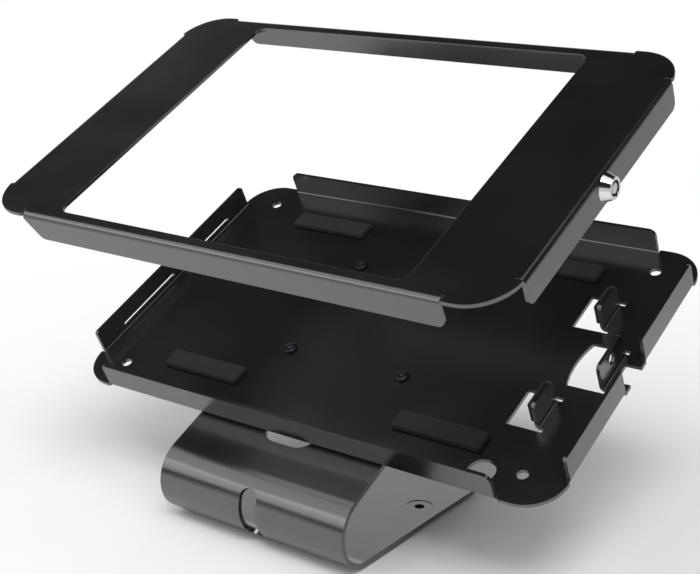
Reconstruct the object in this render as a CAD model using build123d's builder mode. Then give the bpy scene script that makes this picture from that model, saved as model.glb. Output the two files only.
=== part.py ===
"""Lockable counter stand for a tablet: a bent steel foot, a folded tray and a folded front cover.

The cover stands lifted off the tray, straight out from its floor. Millimetres, Z up, X along
the tray from its plain end to its lock end, Y from the user to the back. The origin lies on
the counter, midway between the two screw holes of the base.
"""
import os
from math import cos, radians, sin

from build123d import *

os.makedirs("parts", exist_ok=True)

# Stock and general fits
sheet = 2.0              # tray and cover sheet
bend_radius = 1.0        # inside radius of the folded rims
relief_width = 0.7       # slit at each end of a folded rim
relief_depth = 0.8       # how far that slit runs past the bend
overrun = 4.0            # extra reach of every cutter
loose_fit = 0.2          # radial play of a screw in its hole
seat_gap = 0.3           # play between pieces that lie on each other but move apart
edge_break = 0.4         # small rounding on turned parts
pick_range = 0.05        # how closely an edge is picked by its place

# Foot: one bent plate
foot_width = 120.0
foot_plate = 2.5
foot_bend_radius = 20.0      # outside radius of the front bend
base_reach = 112.0           # from the bend's centre to the rear edge
arm_past_tray_middle = 52.0  # how far the arm runs on behind the tray's middle
tray_tilt = 26.0             # the arm's slope over the counter
plate_corner = 10.0
cable_slot_width = 11.0
cable_slot_start = 45.0      # degrees round the bend from where the arm leaves it
cable_slot_end = 106.0
arm_window_length = 32.0     # hole in the arm just in front of the tray
arm_window_width = 29.0
arm_window_corner = 10.0
arm_window_lead = 4.0        # how far it shows in front of the tray
anchor_spacing = 94.0
anchor_reach = 68.0          # behind the bend's centre
anchor_hole_radius = 2.75
anchor_seat_radius = 7.4
anchor_seat_depth = 0.3
pad_radius = 7.0             # rubber feet
pad_height = 2.0
pad_spacing_x = 92.0
pad_front_reach = 14.0       # behind the bend's centre
pad_rear_inset = 14.0        # from the base's rear edge
pad_rounding = 0.6

# Tray
tray_length = 308.0
tray_width = 190.0
tray_rim = 16.0              # outside height of the folded rim
tray_front_reach = 24.0      # from the bend's centre, along the arm, to the tray's front edge
corner_radius = 21.0
lobe_length = 29.0           # flat corner lobe, along the tray
lobe_width = 22.0            # and across it
front_left_lobe = 25.5       # the front rim runs on further at its left end
rim_corner = 4.0             # rounding of the rims' free corners
end_rim_corner = 2.0         # on the rims at the tray's two ends
lobe_corner = 1.0            # rounding of the lobes where they meet the slits
corner_hole_inset_x = 23.3   # from the tray's ends
corner_hole_inset_y = 17.9
corner_hole_radius = 3.0
strap_slot_start = 4.0       # two long slots in the left rim, measured from the middle
strap_slot_end = 53.0
strap_slot_height = 2.4
strap_slot_rise = 5.2
plug_hole_inset_x = 43.5     # cable hole at the front right
plug_hole_inset_y = 13.3
plug_hole_radius = 7.4
screw_spacing = 75.0

# Lanced tabs at the lock end
tab_bend_radius = 1.0
tab_height = 16.4            # over the tray's underside
tab_corner = 3.0
tab_relief_depth = 2.0
tab_relief_width = 2.8
pad_tab_inset = 30.3         # outer face of the padded tabs, from the tray's end
pad_tab_y = 37.2
pad_tab_width = 19.4
pad_tab_blank = 15.9         # how far their cutouts run towards the middle
lock_tab_inset = 11.6
lock_tab_width = 26.4
lock_tab_blank = 17.6
lock_tab_arc = 50.0
lock_tab_hole_radius = 3.15
lock_rise = 10.8             # lock axis over the tray's underside, cover shut
lock_gap_width = 24.0        # gap in the right rim
lock_notch_width = 13.2      # notch in the floor below the lock
lock_notch_depth = 8.5
side_pad_thickness = 2.5
side_pad_inset = 0.8
floor_pad_length = 52.0
floor_pad_width = 12.0
floor_pad_thickness = 3.0
floor_pad_inset_x = 76.0
floor_pad_inset_y = 29.0

# Screws that hold the tray on the arm
screw_radius = 2.0
screw_head_radius = 4.0
screw_head_height = 2.2
screw_length = 10.2
driver_width = 2.2
driver_depth = 1.2
washer_radius = 4.5
washer_thickness = 0.8
nut_flats = 7.0
nut_height = 3.2

# Cover
cover_play = 0.5             # between the two rims, on each side
cover_rim = 15.3             # outside height
cover_rim_slant = 8.0        # lean of the left ends of the long rims
cover_lift = 108.0           # how far it stands lifted off
window_margin_x = 50.0       # cover face beside the window
window_margin_y = 7.5
window_corner = 6.0
cover_foam_length = 150.0
cover_foam_thickness = 4.2
left_foam_width = 14.0
left_foam_gap = 7.0          # from the window's end, so that its edge hides the foam
right_foam_width = 7.0
right_foam_gap = 5.0

# Tubular key lock on the cover's right rim
collar_radius = 7.1
collar_face_radius = 5.2
collar_height = 4.5
mouth_radius = 3.7           # round key hole
key_depth = 1.5              # from the lip down to the pins
key_notch_width = 1.4        # notch in the lip for the key's guide
key_notch_depth = 0.7
lip_thickness = 0.8
barrel_radius = 5.4
barrel_reach = 12.2          # from the rim's outer face inwards
barrel_fit = 0.15
barrel_wall = 1.3
core_play = 0.3              # round the turning core and the sliding bolt
core_thickness = 3.0
post_radius = 2.6            # the key fits over this post
post_sink = 0.4              # its end below the collar's face
key_flat = 0.5               # depth of the flat along the post
key_pin_count = 7
key_pin_radius = 0.4
key_pin_fit = 0.1
key_pin_circle = 3.15
key_pin_proud = 0.2
key_pin_length = 1.8
stem_radius = 1.2
stem_end_gap = 0.5
bolt_radius = 2.5
bolt_head_thickness = 1.2
bolt_end_inset = 0.2         # its tip inside the barrel's end
bolt_tip_wall = 1.0
end_cap_thickness = 1.2
clip_thickness = 1.0
clip_groove = 0.6            # depth of the barrel's groove
clip_width = 2.1             # breadth of the clip's band
clip_arm = 3.0               # its arms above the lock's axis
spring_wire_radius = 0.25
spring_turns = 5

# Places worked out from the sizes above
bend_y = -anchor_reach
base_end_y = bend_y + base_reach
pad_front_y = bend_y + pad_front_reach
pad_rear_y = base_end_y - pad_rear_inset
bend_z = pad_height + foot_bend_radius
tilt = radians(tray_tilt)
tray_half_length = tray_length / 2
tray_half_width = tray_width / 2
tray_along_arm = tray_front_reach + tray_half_width
arm_reach = tray_along_arm + arm_past_tray_middle
corner_hole_x = tray_half_length - corner_hole_inset_x
corner_hole_y = tray_half_width - corner_hole_inset_y
plug_hole_x = tray_half_length - plug_hole_inset_x
plug_hole_y = plug_hole_inset_y - tray_half_width
pad_tab_x = tray_half_length - pad_tab_inset
lock_tab_x = tray_half_length - lock_tab_inset
floor_pad_x = tray_half_length - floor_pad_inset_x
floor_pad_y = tray_half_width - floor_pad_inset_y
tray_origin = (
    0,
    bend_y - foot_bend_radius * sin(tilt) + tray_along_arm * cos(tilt),
    bend_z + foot_bend_radius * cos(tilt) + tray_along_arm * sin(tilt),
)
tray_plane = Plane(origin=tray_origin, x_dir=(1, 0, 0), z_dir=(0, -sin(tilt), cos(tilt)))
cover_plane = tray_plane.offset(cover_lift)
along = Axis(tray_plane.origin, tray_plane.x_dir)
across = Axis(tray_plane.origin, tray_plane.y_dir)
out = Axis(tray_plane.origin, tray_plane.z_dir)
section_x = Plane(origin=(0, 0, 0), x_dir=(0, 1, 0), z_dir=(1, 0, 0))
cover_length = tray_length + 2 * (cover_play + sheet)
cover_width = tray_width + 2 * (cover_play + sheet)
window_length = cover_length - 2 * window_margin_x
window_width = cover_width - 2 * window_margin_y
cover_underside = tab_height + seat_gap
cover_top = cover_underside + sheet


def place(plane, x, y, z=0):
    """The same plane with its origin moved to a point given in its own axes."""
    return Plane(origin=plane.from_local_coords((x, y, z)), x_dir=plane.x_dir, z_dir=plane.z_dir)


def side_plane(plane, angle, reach):
    """Plane at the middle of one side: its X points out of the part, its Z as the given plane's."""
    turn_angle = radians(angle)
    outwards = plane.x_dir * cos(turn_angle) + plane.y_dir * sin(turn_angle)
    return Plane(origin=plane.origin + outwards * reach, x_dir=outwards, z_dir=plane.z_dir)


def cut_across(plane):
    """Section plane at a side: X points out of the part, Y points up from the sheet."""
    return Plane(origin=plane.origin, x_dir=plane.x_dir, z_dir=-plane.y_dir)


def lobe_ends(part, plane, half_x, half_y):
    """Upright edges of a flat sheet on its outline, where the lobes meet the slits."""

    def at_slit(edge):
        spot = plane.to_local_coords(edge.center())
        beside_x = any(
            abs(abs(spot.X) - half_x + lobe - relief_width) < pick_range
            for lobe in (lobe_length, front_left_lobe)
        )
        beside_y = abs(abs(spot.Y) - half_y + lobe_width - relief_width) < pick_range
        outer = abs(spot.X) > half_x - sheet or abs(spot.Y) > half_y - sheet
        return outer and (beside_x or beside_y)

    return part.edges().filter_by(Axis(plane.origin, plane.z_dir)).filter_by(at_slit)


def small_edges(part, axis, longest):
    """Short straight edges of a part that run along an axis."""
    return part.edges().filter_by(axis).filter_by(lambda edge: edge.length < longest)


# Bent foot: base, front bend and sloping arm, from one plate
arm_start = (
    bend_y - foot_bend_radius * sin(tilt),
    bend_z + foot_bend_radius * cos(tilt),
)
arm_end = (arm_start[0] + arm_reach * cos(tilt), arm_start[1] + arm_reach * sin(tilt))
inner_radius = foot_bend_radius - foot_plate
plate_drop = (foot_plate * sin(tilt), -foot_plate * cos(tilt))
arm_start_inner = (arm_start[0] + plate_drop[0], arm_start[1] + plate_drop[1])
arm_end_inner = (arm_end[0] + plate_drop[0], arm_end[1] + plate_drop[1])
bend_turn = 180 - tray_tilt
bend_middle = Plane(origin=(0, bend_y, bend_z), x_dir=(1, 0, 0), z_dir=(0, -sin(tilt), cos(tilt)))

with BuildPart() as stand_bracket:
    with BuildSketch(section_x) as plate_section:
        with BuildLine():
            Line((base_end_y, pad_height), (bend_y, pad_height))
            CenterArc((bend_y, bend_z), foot_bend_radius, 270, -bend_turn)
            Line(arm_start, arm_end)
            Line(arm_end, arm_end_inner)
            Line(arm_end_inner, arm_start_inner)
            CenterArc((bend_y, bend_z), inner_radius, 90 + tray_tilt, bend_turn)
            Line((bend_y, pad_height + foot_plate), (base_end_y, pad_height + foot_plate))
            Line((base_end_y, pad_height + foot_plate), (base_end_y, pad_height))
        make_face()
    extrude(amount=foot_width / 2, both=True)
    fillet(small_edges(stand_bracket, Axis.Z, 2 * foot_plate), radius=plate_corner)
    fillet(small_edges(stand_bracket, out, 2 * foot_plate), radius=plate_corner)
    # Cable slot wrapped round the bend, with round ends
    with BuildSketch(section_x) as slot_wedge:
        with BuildLine():
            first = 90 + tray_tilt + cable_slot_start
            sweep_angle = cable_slot_end - cable_slot_start
            wide = CenterArc((bend_y, bend_z), foot_bend_radius + overrun, first, sweep_angle)
            tight = CenterArc((bend_y, bend_z), inner_radius - overrun, first, sweep_angle)
            Line(wide @ 0, tight @ 0)
            Line(wide @ 1, tight @ 1)
        make_face()
    extrude(amount=cable_slot_width / 2, both=True, mode=Mode.SUBTRACT)
    for slot_angle in (cable_slot_start, cable_slot_end):
        with BuildSketch(bend_middle.rotated((slot_angle, 0, 0))):
            Circle(cable_slot_width / 2)
        extrude(amount=foot_bend_radius + overrun, mode=Mode.SUBTRACT)
    # Window in the arm for the cable, partly in front of the tray
    window_y = -tray_half_width - arm_window_lead + arm_window_width / 2
    with BuildSketch(place(tray_plane, 0, window_y)):
        RectangleRounded(arm_window_length, arm_window_width, arm_window_corner)
    extrude(amount=foot_plate + overrun, both=True, mode=Mode.SUBTRACT)
    with Locations(tray_plane):
        with GridLocations(screw_spacing, screw_spacing, 2, 2):
            Hole(screw_radius + loose_fit, depth=foot_plate + overrun)
    with Locations(Plane.XY.offset(pad_height + foot_plate)):
        with Locations((0, bend_y + anchor_reach)):
            with GridLocations(anchor_spacing, anchor_spacing, 2, 1):
                CounterBoreHole(
                    anchor_hole_radius,
                    anchor_seat_radius,
                    anchor_seat_depth,
                    depth=foot_plate + overrun,
                )
stand_bracket.part.label = "stand_bracket"
export_step(stand_bracket.part, "parts/stand_bracket.step")

# Rubber feet under the base
with BuildPart() as bracket_feet:
    with BuildSketch(Plane.XY):
        with Locations((0, (pad_front_y + pad_rear_y) / 2)):
            with GridLocations(pad_spacing_x, pad_rear_y - pad_front_y, 2, 2):
                Circle(pad_radius)
    extrude(amount=pad_height)
    fillet(bracket_feet.edges().group_by(Axis.Z)[0], radius=pad_rounding)
bracket_feet.part.label = "bracket_feet"
export_step(bracket_feet.part, "parts/bracket_feet.step")

# Folded tray. Each side: turn, reach to the rim's face, half the rim's length, its middle's shift
rim_half_x = tray_half_length - lobe_length
rim_half_y = tray_half_width - lobe_width
front_rim_lead = lobe_length - front_left_lobe
tray_sides = (
    (0, tray_half_length, rim_half_y, 0),
    (90, tray_half_width, rim_half_x, 0),
    (180, tray_half_length, rim_half_y, 0),
    (270, tray_half_width, rim_half_x + front_rim_lead / 2, -front_rim_lead / 2),
)
fold_depth = sheet + bend_radius + relief_depth

with BuildPart() as tray:
    with BuildSketch(tray_plane):
        RectangleRounded(tray_length, tray_width, corner_radius)
    extrude(amount=sheet)
    for turn, reach, half, shift in tray_sides:
        with BuildSketch(place(side_plane(tray_plane, turn, reach), 0, shift)):
            Rectangle(2 * fold_depth, 2 * (half + relief_width))
        extrude(amount=sheet, mode=Mode.SUBTRACT)
    fillet(lobe_ends(tray, tray_plane, tray_half_length, tray_half_width), radius=lobe_corner)
    for turn, reach, half, shift in tray_sides:
        with BuildSketch(cut_across(place(side_plane(tray_plane, turn, reach), 0, shift))):
            with BuildLine():
                centre = (-sheet - bend_radius, sheet + bend_radius)
                outside = CenterArc(centre, sheet + bend_radius, 270, 90)
                inside = CenterArc(centre, bend_radius, 270, 90)
                Polyline(outside @ 0, (-fold_depth, 0), (-fold_depth, sheet), inside @ 0)
                Polyline(outside @ 1, (0, tray_rim), (-sheet, tray_rim), inside @ 1)
            make_face()
        extrude(amount=half, both=True)
    # The rims' free corners are rounded, least at the tray's two ends and the front rim's left end
    rim_tops = tray.edges().group_by(out)[-1].filter_by(lambda edge: edge.length < 2 * sheet)
    end_tops = rim_tops.filter_by(
        lambda edge: abs(tray_plane.to_local_coords(edge.center()).X) > rim_half_x + front_rim_lead / 2
    )
    fillet(end_tops, radius=end_rim_corner)
    rim_tops = tray.edges().group_by(out)[-1].filter_by(lambda edge: edge.length < 2 * sheet)
    long_tops = rim_tops.filter_by(
        lambda edge: abs(tray_plane.to_local_coords(edge.center()).X) < rim_half_x + front_rim_lead / 2
    )
    fillet(long_tops, radius=rim_corner)
    # Gap in the right rim and notch in the floor, for the lock
    with BuildSketch(place(tray_plane, tray_half_length, 0, sheet)):
        Rectangle(2 * (sheet + bend_radius), lock_gap_width)
    extrude(amount=tray_rim, mode=Mode.SUBTRACT)
    with BuildSketch(place(tray_plane, tray_half_length, 0)):
        Rectangle(2 * (sheet + bend_radius), lock_gap_width)
    extrude(amount=sheet, mode=Mode.SUBTRACT)
    with BuildSketch(place(tray_plane, tray_half_length - sheet - bend_radius, 0)):
        Rectangle(2 * (sheet + bend_radius), lock_gap_width)
    extrude(amount=sheet)
    with BuildSketch(place(tray_plane, tray_half_length, 0)):
        Rectangle(2 * lock_notch_depth, lock_notch_width)
    extrude(amount=sheet, mode=Mode.SUBTRACT)
    # Cutouts that the tabs were folded out of
    with BuildSketch(tray_plane):
        for tab_y in (-pad_tab_y, pad_tab_y):
            cut_start = pad_tab_x - sheet - pad_tab_blank + tab_bend_radius
            cut_end = pad_tab_x + tab_bend_radius + tab_relief_depth
            with Locations(((cut_start + cut_end) / 2, tab_y)):
                Rectangle(cut_end - cut_start, pad_tab_width + 2 * tab_relief_width)
        lock_cut_end = lock_tab_x + tab_bend_radius + relief_depth
        lock_cut_half = lock_tab_width / 2 + tab_relief_width
        lock_cut_start = lock_tab_x - sheet - lock_tab_blank
        with BuildLine():
            lock_arc = RadiusArc(
                (lock_cut_start + relief_width, -lock_cut_half),
                (lock_cut_start + relief_width, lock_cut_half),
                lock_tab_arc,
            )
            Polyline(
                lock_arc @ 0,
                (lock_cut_end, -lock_cut_half),
                (lock_cut_end, lock_cut_half),
                lock_arc @ 1,
            )
        make_face()
    extrude(amount=sheet, mode=Mode.SUBTRACT)
    # Tabs: outer face, middle, width, length of the floor strip at their root
    tabs = (
        (pad_tab_x, -pad_tab_y, pad_tab_width, tab_relief_depth),
        (pad_tab_x, pad_tab_y, pad_tab_width, tab_relief_depth),
        (lock_tab_x, 0, lock_tab_width, relief_depth),
    )
    for tab_x, tab_y, tab_width, root in tabs:
        with BuildSketch(cut_across(place(tray_plane, tab_x, tab_y))):
            with BuildLine():
                centre = (tab_bend_radius, sheet + tab_bend_radius)
                outside = CenterArc(centre, sheet + tab_bend_radius, 180, 90)
                inside = CenterArc(centre, tab_bend_radius, 180, 90)
                root_end = tab_bend_radius + root
                Polyline(outside @ 1, (root_end, 0), (root_end, sheet), inside @ 1)
                Polyline(outside @ 0, (-sheet, tab_height), (0, tab_height), inside @ 0)
            make_face()
        extrude(amount=tab_width / 2, both=True)
    tab_tops = tray.edges().group_by(out)[-1].filter_by(lambda edge: edge.length < 2 * sheet)
    fillet(tab_tops, radius=tab_corner)
    # Bolt hole in the lock tab
    bolt_line = place(tray_plane, lock_tab_x, 0, lock_rise)
    with BuildSketch(Plane(origin=bolt_line.origin, x_dir=bolt_line.y_dir, z_dir=bolt_line.x_dir)):
        Circle(lock_tab_hole_radius)
    extrude(amount=sheet + tab_bend_radius, both=True, mode=Mode.SUBTRACT)
    # Two long slots in the left rim
    slot_length = strap_slot_end - strap_slot_start
    slot_middle = (strap_slot_start + strap_slot_end) / 2
    left = place(tray_plane, -tray_half_length, 0, strap_slot_rise)
    with BuildSketch(Plane(origin=left.origin, x_dir=left.y_dir, z_dir=left.x_dir)):
        with GridLocations(2 * slot_middle, sheet, 2, 1):
            SlotOverall(slot_length, strap_slot_height)
    extrude(amount=2 * sheet, both=True, mode=Mode.SUBTRACT)
    # Round holes in the floor
    with BuildSketch(tray_plane):
        with GridLocations(2 * corner_hole_x, 2 * corner_hole_y, 2, 2):
            Circle(corner_hole_radius)
        with GridLocations(screw_spacing, screw_spacing, 2, 2):
            Circle(screw_radius + loose_fit)
        with Locations((plug_hole_x, plug_hole_y)):
            Circle(plug_hole_radius)
    extrude(amount=sheet, mode=Mode.SUBTRACT)
tray.part.label = "tray"
export_step(tray.part, "parts/tray.step")

# Foam pads on the tablet side of the two outer tabs
side_pad_height = tab_height - sheet - tab_bend_radius - 2 * side_pad_inset
side_pad_middle = (tab_height + sheet + tab_bend_radius) / 2
for pad_name, tab_y in (("front_side_pad", -pad_tab_y), ("rear_side_pad", pad_tab_y)):
    face = place(tray_plane, pad_tab_x - sheet, tab_y, side_pad_middle)
    with BuildPart() as side_pad:
        with BuildSketch(Plane(origin=face.origin, x_dir=face.y_dir, z_dir=-face.x_dir)):
            Rectangle(pad_tab_width - 2 * side_pad_inset, side_pad_height)
        extrude(amount=side_pad_thickness)
        fillet(side_pad.edges().filter_by(along), radius=side_pad_inset)
    side_pad.part.label = pad_name
    export_step(side_pad.part, f"parts/{pad_name}.step")

# Foam strips that the tablet lies on
for pad_name, row in (("front_floor_pads", -floor_pad_y), ("rear_floor_pads", floor_pad_y)):
    with BuildPart() as floor_pads:
        with BuildSketch(place(tray_plane, 0, row, sheet)):
            with GridLocations(2 * floor_pad_x, floor_pad_width, 2, 1):
                RectangleRounded(floor_pad_length, floor_pad_width, side_pad_inset)
        extrude(amount=floor_pad_thickness)
    floor_pads.part.label = pad_name
    export_step(floor_pads.part, f"parts/{pad_name}.step")

# Pan-head screws through the tray floor and the arm
with BuildPart() as tray_screws:
    with BuildSketch(tray_plane.offset(sheet)):
        with GridLocations(screw_spacing, screw_spacing, 2, 2):
            Circle(screw_head_radius)
    extrude(amount=screw_head_height)
    fillet(tray_screws.edges().group_by(out)[-1], radius=screw_head_height / 2)
    with BuildSketch(tray_plane.offset(sheet)):
        with GridLocations(screw_spacing, screw_spacing, 2, 2):
            Circle(screw_radius)
    extrude(amount=-screw_length)
    with BuildSketch(tray_plane.offset(sheet + screw_head_height)):
        with GridLocations(screw_spacing, screw_spacing, 2, 2):
            RegularPolygon(driver_width, 6)
    extrude(amount=-driver_depth, mode=Mode.SUBTRACT)
tray_screws.part.label = "tray_screws"
export_step(tray_screws.part, "parts/tray_screws.step")

# Washers and nuts under the arm
with BuildPart() as tray_washers:
    with BuildSketch(tray_plane.offset(-foot_plate)):
        with GridLocations(screw_spacing, screw_spacing, 2, 2):
            Circle(washer_radius)
            Circle(screw_radius + loose_fit, mode=Mode.SUBTRACT)
    extrude(amount=-washer_thickness)
tray_washers.part.label = "tray_washers"
export_step(tray_washers.part, "parts/tray_washers.step")

with BuildPart() as tray_nuts:
    with BuildSketch(tray_plane.offset(-foot_plate - washer_thickness)):
        with GridLocations(screw_spacing, screw_spacing, 2, 2):
            RegularPolygon(nut_flats / 2, 6, major_radius=False)
            Circle(screw_radius + loose_fit / 2, mode=Mode.SUBTRACT)
    extrude(amount=-nut_height)
tray_nuts.part.label = "tray_nuts"
export_step(tray_nuts.part, "parts/tray_nuts.step")

# Folded front cover. It goes over the tray's rim, so its sizes follow the tray's
cover_corner = corner_radius + cover_play + sheet
cover_sides = (
    (0, cover_length / 2, cover_width / 2 - lobe_width),
    (90, cover_width / 2, cover_length / 2 - lobe_length),
    (180, cover_length / 2, cover_width / 2 - lobe_width),
    (270, cover_width / 2, cover_length / 2 - lobe_length),
)
cover_face = cover_plane.offset(cover_underside)
lock_origin = place(cover_plane, cover_length / 2, 0, lock_rise)

with BuildPart() as front_cover:
    with BuildSketch(cover_face):
        RectangleRounded(cover_length, cover_width, cover_corner)
    extrude(amount=sheet)
    for turn, reach, half in cover_sides:
        with BuildSketch(side_plane(cover_face, turn, reach)):
            Rectangle(2 * fold_depth, 2 * (half + relief_width))
        extrude(amount=sheet, mode=Mode.SUBTRACT)
    fillet(lobe_ends(front_cover, cover_face, cover_length / 2, cover_width / 2), radius=lobe_corner)
    for turn, reach, half in cover_sides:
        with BuildSketch(cut_across(side_plane(cover_face, turn, reach))):
            with BuildLine():
                centre = (-sheet - bend_radius, -bend_radius)
                outside = CenterArc(centre, sheet + bend_radius, 0, 90)
                inside = CenterArc(centre, bend_radius, 0, 90)
                Polyline(outside @ 1, (-fold_depth, sheet), (-fold_depth, 0), inside @ 1)
                rim_end = sheet - cover_rim
                Polyline(outside @ 0, (0, rim_end), (-sheet, rim_end), inside @ 0)
            make_face()
        extrude(amount=half, both=True)
    # The left ends of the two long rims lean
    leaning = place(cover_face, lobe_length - cover_length / 2, 0, sheet)
    with BuildSketch(Plane(origin=leaning.origin, x_dir=leaning.x_dir, z_dir=-leaning.y_dir)):
        Polygon(
            (0, -fold_depth),
            (cover_rim_slant, -cover_rim),
            (cover_rim_slant, -cover_rim - overrun),
            (-overrun, -cover_rim - overrun),
            (-overrun, -fold_depth),
            align=None,
        )
    extrude(amount=cover_width, both=True, mode=Mode.SUBTRACT)
    cover_ends = front_cover.edges().group_by(out)[0].filter_by(lambda edge: edge.length < 2 * sheet)
    fillet(cover_ends, radius=rim_corner)
    with BuildSketch(cover_face):
        RectangleRounded(window_length, window_width, window_corner)
    extrude(amount=sheet, mode=Mode.SUBTRACT)
    with BuildSketch(
        Plane(origin=lock_origin.origin, x_dir=lock_origin.y_dir, z_dir=lock_origin.x_dir)
    ):
        Circle(barrel_radius + barrel_fit)
    extrude(amount=2 * sheet, both=True, mode=Mode.SUBTRACT)
front_cover.part.label = "front_cover"
export_step(front_cover.part, "parts/front_cover.step")

# Foam strips under the cover, beside the window's ends
foam_rows = (
    ("left_cover_foam", -1, left_foam_width, left_foam_gap),
    ("right_cover_foam", 1, right_foam_width, right_foam_gap),
)
for foam_name, end, foam_width, foam_gap in foam_rows:
    foam_x = end * (window_length / 2 + foam_gap + foam_width / 2)
    with BuildPart() as cover_foam:
        with BuildSketch(place(cover_face, foam_x, 0)):
            RectangleRounded(foam_width, cover_foam_length, side_pad_inset)
        extrude(amount=-cover_foam_thickness)
    cover_foam.part.label = foam_name
    export_step(cover_foam.part, f"parts/{foam_name}.step")

# Lock: turned parts on one axis. In their section X points out of the rim, Y away from the axis
lock_section = Plane(
    origin=lock_origin.origin, x_dir=lock_origin.x_dir, z_dir=-lock_origin.y_dir
)
lock_axis = Axis(lock_origin.origin, lock_origin.x_dir)
bore_radius = barrel_radius - barrel_wall
core_radius = bore_radius - core_play
groove_radius = barrel_radius - clip_groove
groove_end = -sheet - clip_thickness - loose_fit
lip_face = collar_height - lip_thickness
core_front = lip_face - key_depth
core_rear = core_front - core_thickness
bolt_front = core_rear - seat_gap
bolt_shoulder = bolt_front - bolt_head_thickness
bolt_tip = bolt_end_inset - barrel_reach
bolt_bore_radius = stem_radius + core_play
bolt_bore_end = bolt_tip + bolt_tip_wall
stem_end = bolt_bore_end + stem_end_gap
cap_face = end_cap_thickness - barrel_reach


def lock_plane(x, height=0):
    """Plane across the lock's axis at x from the rim's face: X runs along the rim, Y up."""
    middle = place(lock_origin, x, 0, height)
    return Plane(origin=middle.origin, x_dir=middle.y_dir, z_dir=middle.x_dir)


with BuildPart() as lock_housing:
    with BuildSketch(lock_section):
        Polygon(
            (collar_height, mouth_radius),
            (collar_height, collar_face_radius),
            (0, collar_radius),
            (0, barrel_radius),
            (-sheet, barrel_radius),
            (-sheet, groove_radius),
            (groove_end, groove_radius),
            (groove_end, barrel_radius),
            (-barrel_reach, barrel_radius),
            (-barrel_reach, bore_radius),
            (lip_face, bore_radius),
            (lip_face, mouth_radius),
            align=None,
        )
    revolve(axis=lock_axis)
    fillet(lock_housing.edges().group_by(along)[-1], radius=edge_break / 2)
    with BuildSketch(lock_plane(lip_face)):
        Rectangle(
            key_notch_width,
            mouth_radius + key_notch_depth,
            align=(Align.CENTER, Align.MAX),
        )
    extrude(amount=collar_height, mode=Mode.SUBTRACT)
lock_housing.part.label = "lock_housing"
export_step(lock_housing.part, "parts/lock_housing.step")

# Spring clip in the barrel's groove, pushed on from below, holds the lock in the rim
with BuildPart() as lock_clip:
    with BuildSketch(lock_plane(-sheet)):
        Circle(groove_radius + barrel_fit + clip_width)
        Rectangle(
            2 * (groove_radius + barrel_fit + clip_width),
            clip_arm,
            align=(Align.CENTER, Align.MIN),
        )
        with Locations((0, clip_arm)):
            Rectangle(
                2 * (groove_radius + barrel_fit + clip_width),
                groove_radius + barrel_fit + clip_width,
                align=(Align.CENTER, Align.MIN),
                mode=Mode.SUBTRACT,
            )
        Circle(groove_radius + barrel_fit, mode=Mode.SUBTRACT)
        Rectangle(
            2 * (groove_radius + barrel_fit),
            groove_radius + barrel_fit + clip_width,
            align=(Align.CENTER, Align.MIN),
            mode=Mode.SUBTRACT,
        )
    extrude(amount=-clip_thickness)
lock_clip.part.label = "lock_clip"
export_step(lock_clip.part, "parts/lock_clip.step")

# Ring pressed into the barrel's inner end, guides the bolt
with BuildPart() as lock_end_cap:
    with BuildSketch(lock_plane(-barrel_reach)):
        Circle(bore_radius - key_pin_fit / 2)
        Circle(bolt_radius + core_play, mode=Mode.SUBTRACT)
    extrude(amount=end_cap_thickness)
lock_end_cap.part.label = "lock_end_cap"
export_step(lock_end_cap.part, "parts/lock_end_cap.step")

# Core: disc with the pins, the post that the key fits over, and the stem that drives the bolt
with BuildPart() as lock_core:
    with BuildSketch(lock_section):
        Polygon(
            (collar_height - post_sink, 0),
            (collar_height - post_sink, post_radius),
            (core_front, post_radius),
            (core_front, core_radius),
            (core_rear, core_radius),
            (core_rear, stem_radius),
            (stem_end, stem_radius),
            (stem_end, 0),
            align=None,
        )
    revolve(axis=lock_axis)
    # Flat along the post that shows the turn
    with BuildSketch(lock_plane(core_front, post_radius)):
        Rectangle(2 * post_radius, 2 * key_flat)
    extrude(amount=collar_height, mode=Mode.SUBTRACT)
    with BuildSketch(lock_plane(core_front)):
        with PolarLocations(key_pin_circle, key_pin_count):
            Circle(key_pin_radius + key_pin_fit)
    extrude(amount=key_pin_proud - key_pin_length, mode=Mode.SUBTRACT)
lock_core.part.label = "lock_core"
export_step(lock_core.part, "parts/lock_core.step")

with BuildPart() as lock_pins:
    with BuildSketch(lock_plane(core_front + key_pin_proud)):
        with PolarLocations(key_pin_circle, key_pin_count):
            Circle(key_pin_radius)
    extrude(amount=-key_pin_length)
lock_pins.part.label = "lock_pins"
export_step(lock_pins.part, "parts/lock_pins.step")

# Bolt, drawn back into the barrel
with BuildPart() as lock_bolt:
    with BuildSketch(lock_section):
        Polygon(
            (bolt_front, bolt_bore_radius),
            (bolt_front, core_radius),
            (bolt_shoulder, core_radius),
            (bolt_shoulder, bolt_radius),
            (bolt_tip, bolt_radius),
            (bolt_tip, 0),
            (bolt_bore_end, 0),
            (bolt_bore_end, bolt_bore_radius),
            align=None,
        )
    revolve(axis=lock_axis)
    fillet(lock_bolt.edges().group_by(along)[0], radius=edge_break)
lock_bolt.part.label = "lock_bolt"
export_step(lock_bolt.part, "parts/lock_bolt.step")

# Spring round the bolt, keeps it drawn back
spring_length = bolt_shoulder - cap_face - seat_gap - 2 * spring_wire_radius
spring_radius = bolt_radius + core_play + 2 * spring_wire_radius
with BuildPart() as lock_spring:
    with BuildLine() as coil:
        Helix(
            pitch=spring_length / spring_turns,
            height=spring_length,
            radius=spring_radius,
            center=place(lock_origin, cap_face + seat_gap + spring_wire_radius, 0).origin,
            direction=lock_origin.x_dir,
        )
    with BuildSketch(Plane(origin=coil.line @ 0, z_dir=coil.line % 0)):
        Circle(spring_wire_radius)
    sweep()
lock_spring.part.label = "lock_spring"
export_step(lock_spring.part, "parts/lock_spring.step")
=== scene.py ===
"""Finish of a lockable counter stand for a tablet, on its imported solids. Metres, Z up."""

from math import cos, hypot, pi, radians, sin

import bmesh
import bpy
from mathutils import Matrix, Vector, noise


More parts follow.
